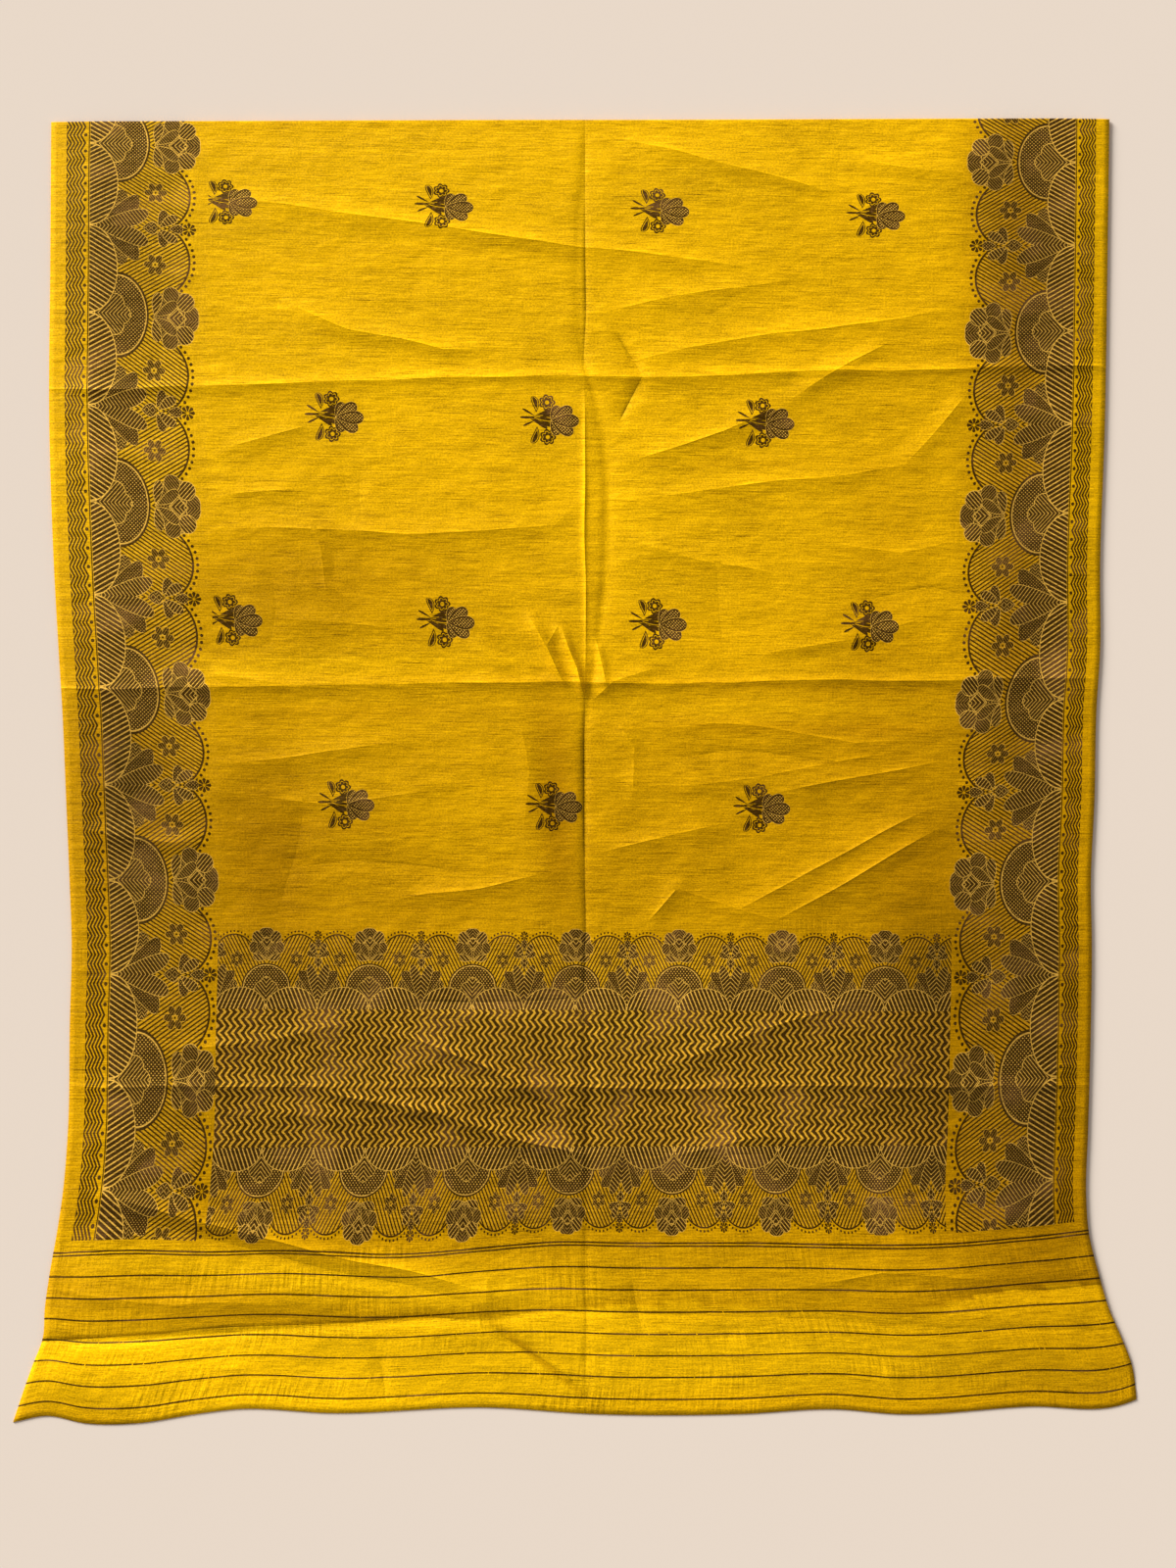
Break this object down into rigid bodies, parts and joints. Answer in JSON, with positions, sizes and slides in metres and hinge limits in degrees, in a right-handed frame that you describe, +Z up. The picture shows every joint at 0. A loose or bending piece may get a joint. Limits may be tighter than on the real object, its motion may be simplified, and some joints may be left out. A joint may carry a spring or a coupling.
{
  "type": "saree",
  "caption": "Silk saree laid flat, its brocade-bordered end stretch spread face up with a striped free end, the rest of its length folded in layers beneath.",
  "frame": {"origin": "under the middle of the footprint, on the surface that the cloth lies on", "axes": "+X across the cloth, selvedge to selvedge, +Y along its length towards the back fold, +Z up"},
  "size_m": [1.2111, 1.4067, 0.0148],
  "materials": {
    "silk": "satin",
    "silk_beneath": "satin"
  },
  "bodies": {
    "root": {"spread_stretch": "silk", "folded_layers": "silk_beneath"}
  },
  "joints": []
}
